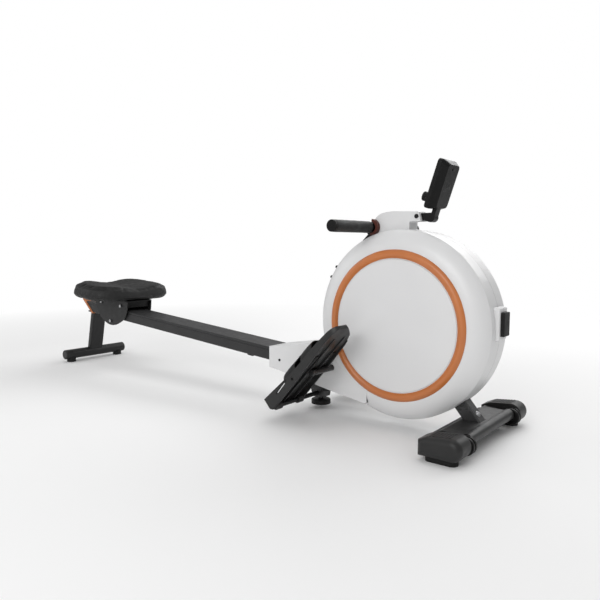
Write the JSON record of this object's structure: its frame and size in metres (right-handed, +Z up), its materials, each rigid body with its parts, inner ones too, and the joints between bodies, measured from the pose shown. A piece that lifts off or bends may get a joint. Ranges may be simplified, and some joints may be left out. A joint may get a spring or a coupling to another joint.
{
  "type": "rowing machine",
  "caption": "Magnetic rowing machine: sloping rail with a rolling saddle seat, round drum with a pull handle and a tilting console, two strapped pedals, transport wheels and wide feet.",
  "frame": {"origin": "on the floor, midway along the length, in the middle of the width", "axes": "+X along the rail from the seat towards the drum, +Y to the seated user's left, +Z up"},
  "size_m": [1.946, 0.474, 0.7537],
  "materials": {
    "rail_paint": "satin powder coat, dark grey",
    "frame_paint": "satin powder coat, black",
    "post_paint": "satin powder coat, silver grey",
    "white_shell": "semi-gloss moulded ABS, white",
    "white_bracket": "semi-gloss moulded ABS, white",
    "orange_trim": "satin moulded ABS, orange",
    "orange_cap": "matt moulded plastic, orange",
    "brown_cradle": "soft moulded rubber, dark red brown",
    "black_plastic": "fine-grained moulded plastic, black",
    "grey_plastic": "fine-grained moulded plastic, dark grey",
    "pad_vinyl": "moulded foam with a soft skin, charcoal",
    "foam": "closed-cell foam sleeve, black",
    "rubber": "matt rubber, black",
    "webbing": "woven webbing, black",
    "steel": "zinc-plated, brushed",
    "black_oxide": "black oxide, satin",
    "iron": "machined cast iron",
    "magnet": "nickel plated",
    "lens": "smoked display window"
  },
  "bodies": {
    "frame": {"rail": "rail_paint", "rail_end_cap": "orange_cap", "rail_stops": "rubber", "rear_leg": "frame_paint", "rear_foot_bar": "frame_paint", "rear_foot_caps": "black_plastic", "floor_pads": "rubber", "main_frame": "post_paint", "stabiliser_bar": "frame_paint", "stabiliser_cover": "grey_plastic", "stabiliser_caps": "black_plastic", "wheel_axles": "steel", "housing_left": "white_shell", "housing_right": "white_shell", "neck_cover": "white_shell", "disc_panels": "white_shell", "ring_trims": "orange_trim", "bumper_boss": "white_shell", "bumper_pad": "rubber", "handle_bracket": "white_bracket", "handle_cradle": "brown_cradle", "strap_outlet": "black_plastic", "pull_strap": "webbing", "drive_axles": "steel", "return_spring": "steel", "drive_belt": "rubber", "pedal_axle": "black_oxide", "centre_foot": "rubber", "fasteners": "black_oxide"},
    "handle": {"handle_bar": "frame_paint", "handle_grips": "foam", "handle_end_caps": "black_plastic", "strap_yoke": "black_plastic"},
    "flywheel": {"flywheel": "iron", "flywheel_pulley": "black_plastic"},
    "drive_pulley": {"drive_pulley": "black_plastic"},
    "strap_spool": {"strap_spool": "black_plastic"},
    "magnet_arm": {"magnet_bracket": "steel", "brake_magnets": "magnet"},
    "transport_wheel_left": {"transport_wheel_left": "black_plastic"},
    "transport_wheel_right": {"transport_wheel_right": "black_plastic"},
    "pedal_left": {"pedal_left": "grey_plastic", "foot_strap_left": "rubber"},
    "pedal_right": {"pedal_right": "grey_plastic", "foot_strap_right": "rubber"},
    "seat": {"seat_pad": "pad_vinyl", "seat_pan": "black_plastic", "carriage_plates": "frame_paint", "roller_axles": "steel"},
    "front_rollers": {"front_rollers": "black_plastic"},
    "rear_rollers": {"rear_rollers": "black_plastic"},
    "under_rollers": {"under_rollers": "black_plastic"},
    "console": {"console_front": "black_plastic", "console_back": "black_plastic", "display_lens": "lens", "battery_door": "black_plastic"},
    "resistance_knob": {"resistance_knob": "black_plastic"},
    "reset_button": {"reset_button": "grey_plastic"},
    "mode_button": {"mode_button": "grey_plastic"}
  },
  "joints": [
    {"name": "seat_slide", "type": "slide", "parent": "frame", "child": "seat", "axis": [0.997, 0, -0.0778], "range_m": [-0.08, 0.77]},
    {"name": "front_roller_spin", "type": "hinge", "parent": "seat", "child": "front_rollers", "pos_m": [-0.6408, 0, 0.26784], "axis": [0, 1, 0], "continuous": true},
    {"name": "rear_roller_spin", "type": "hinge", "parent": "seat", "child": "rear_rollers", "pos_m": [-0.78436, 0, 0.27904], "axis": [0, 1, 0], "continuous": true},
    {"name": "under_roller_spin", "type": "hinge", "parent": "seat", "child": "under_rollers", "pos_m": [-0.71838, 0, 0.19907], "axis": [0, 1, 0], "continuous": true},
    {"name": "handle_pull", "type": "slide", "parent": "frame", "child": "handle", "axis": [-0.9945, 0, 0.1045], "range_m": [0, 0.9], "stiffness_N_per_m": 20, "springref_m": -0.6, "deforming": ["pull_strap"]},
    {"name": "spool_spin", "type": "hinge", "parent": "frame", "child": "strap_spool", "pos_m": [0.548, 0, 0.385], "axis": [0, 1, 0], "continuous": true},
    {"name": "flywheel_spin", "type": "hinge", "parent": "frame", "child": "flywheel", "pos_m": [0.735, 0, 0.325], "axis": [0, 1, 0], "continuous": true},
    {"name": "drive_pulley_spin", "type": "hinge", "parent": "frame", "child": "drive_pulley", "pos_m": [0.548, 0, 0.385], "axis": [0, 1, 0], "continuous": true},
    {"name": "magnet_swing", "type": "hinge", "parent": "frame", "child": "magnet_arm", "pos_m": [0.684, 0, 0.484], "axis": [0, 1, 0], "range_deg": [0, 9.5]},
    {"name": "pedal_left_tilt", "type": "hinge", "parent": "frame", "child": "pedal_left", "pos_m": [0.378, 0.1655, 0.052], "axis": [0, 1, 0], "range_deg": [-25, 0]},
    {"name": "pedal_right_tilt", "type": "hinge", "parent": "frame", "child": "pedal_right", "pos_m": [0.378, -0.1655, 0.052], "axis": [0, 1, 0], "range_deg": [-25, 0]},
    {"name": "wheel_left_spin", "type": "hinge", "parent": "frame", "child": "transport_wheel_left", "pos_m": [0.94, 0.158, 0.038], "axis": [0, 1, 0], "continuous": true},
    {"name": "wheel_right_spin", "type": "hinge", "parent": "frame", "child": "transport_wheel_right", "pos_m": [0.94, -0.158, 0.038], "axis": [0, 1, 0], "continuous": true},
    {"name": "console_tilt", "type": "hinge", "parent": "frame", "child": "console", "pos_m": [0.722, 0, 0.604], "axis": [0, 1, 0], "range_deg": [-20, 15]},
    {"name": "knob_turn", "type": "hinge", "parent": "console", "child": "resistance_knob", "pos_m": [0.76, -0.029, 0.6528], "axis": [-0.9478, 0, 0.319], "range_deg": [0, 300]},
    {"name": "reset_press", "type": "slide", "parent": "console", "child": "reset_button", "axis": [0.9478, 0, -0.319], "range_m": [0, 0.0015], "stiffness_N_per_m": 400, "springref_m": -0.002},
    {"name": "mode_press", "type": "slide", "parent": "console", "child": "mode_button", "axis": [0.9478, 0, -0.319], "range_m": [0, 0.0015], "stiffness_N_per_m": 400, "springref_m": -0.002}
  ],
  "couplings": [
    {"joint": "front_roller_spin", "follows": "seat_slide", "rad_per_m": 55.556},
    {"joint": "rear_roller_spin", "follows": "seat_slide", "rad_per_m": 55.556},
    {"joint": "under_roller_spin", "follows": "seat_slide", "rad_per_m": -83.333},
    {"joint": "spool_spin", "follows": "handle_pull", "rad_per_m": -30.303},
    {"joint": "drive_pulley_spin", "follows": "flywheel_spin", "ratio": 0.25641},
    {"joint": "magnet_swing", "follows": "knob_turn", "ratio": 0.03}
  ]
}
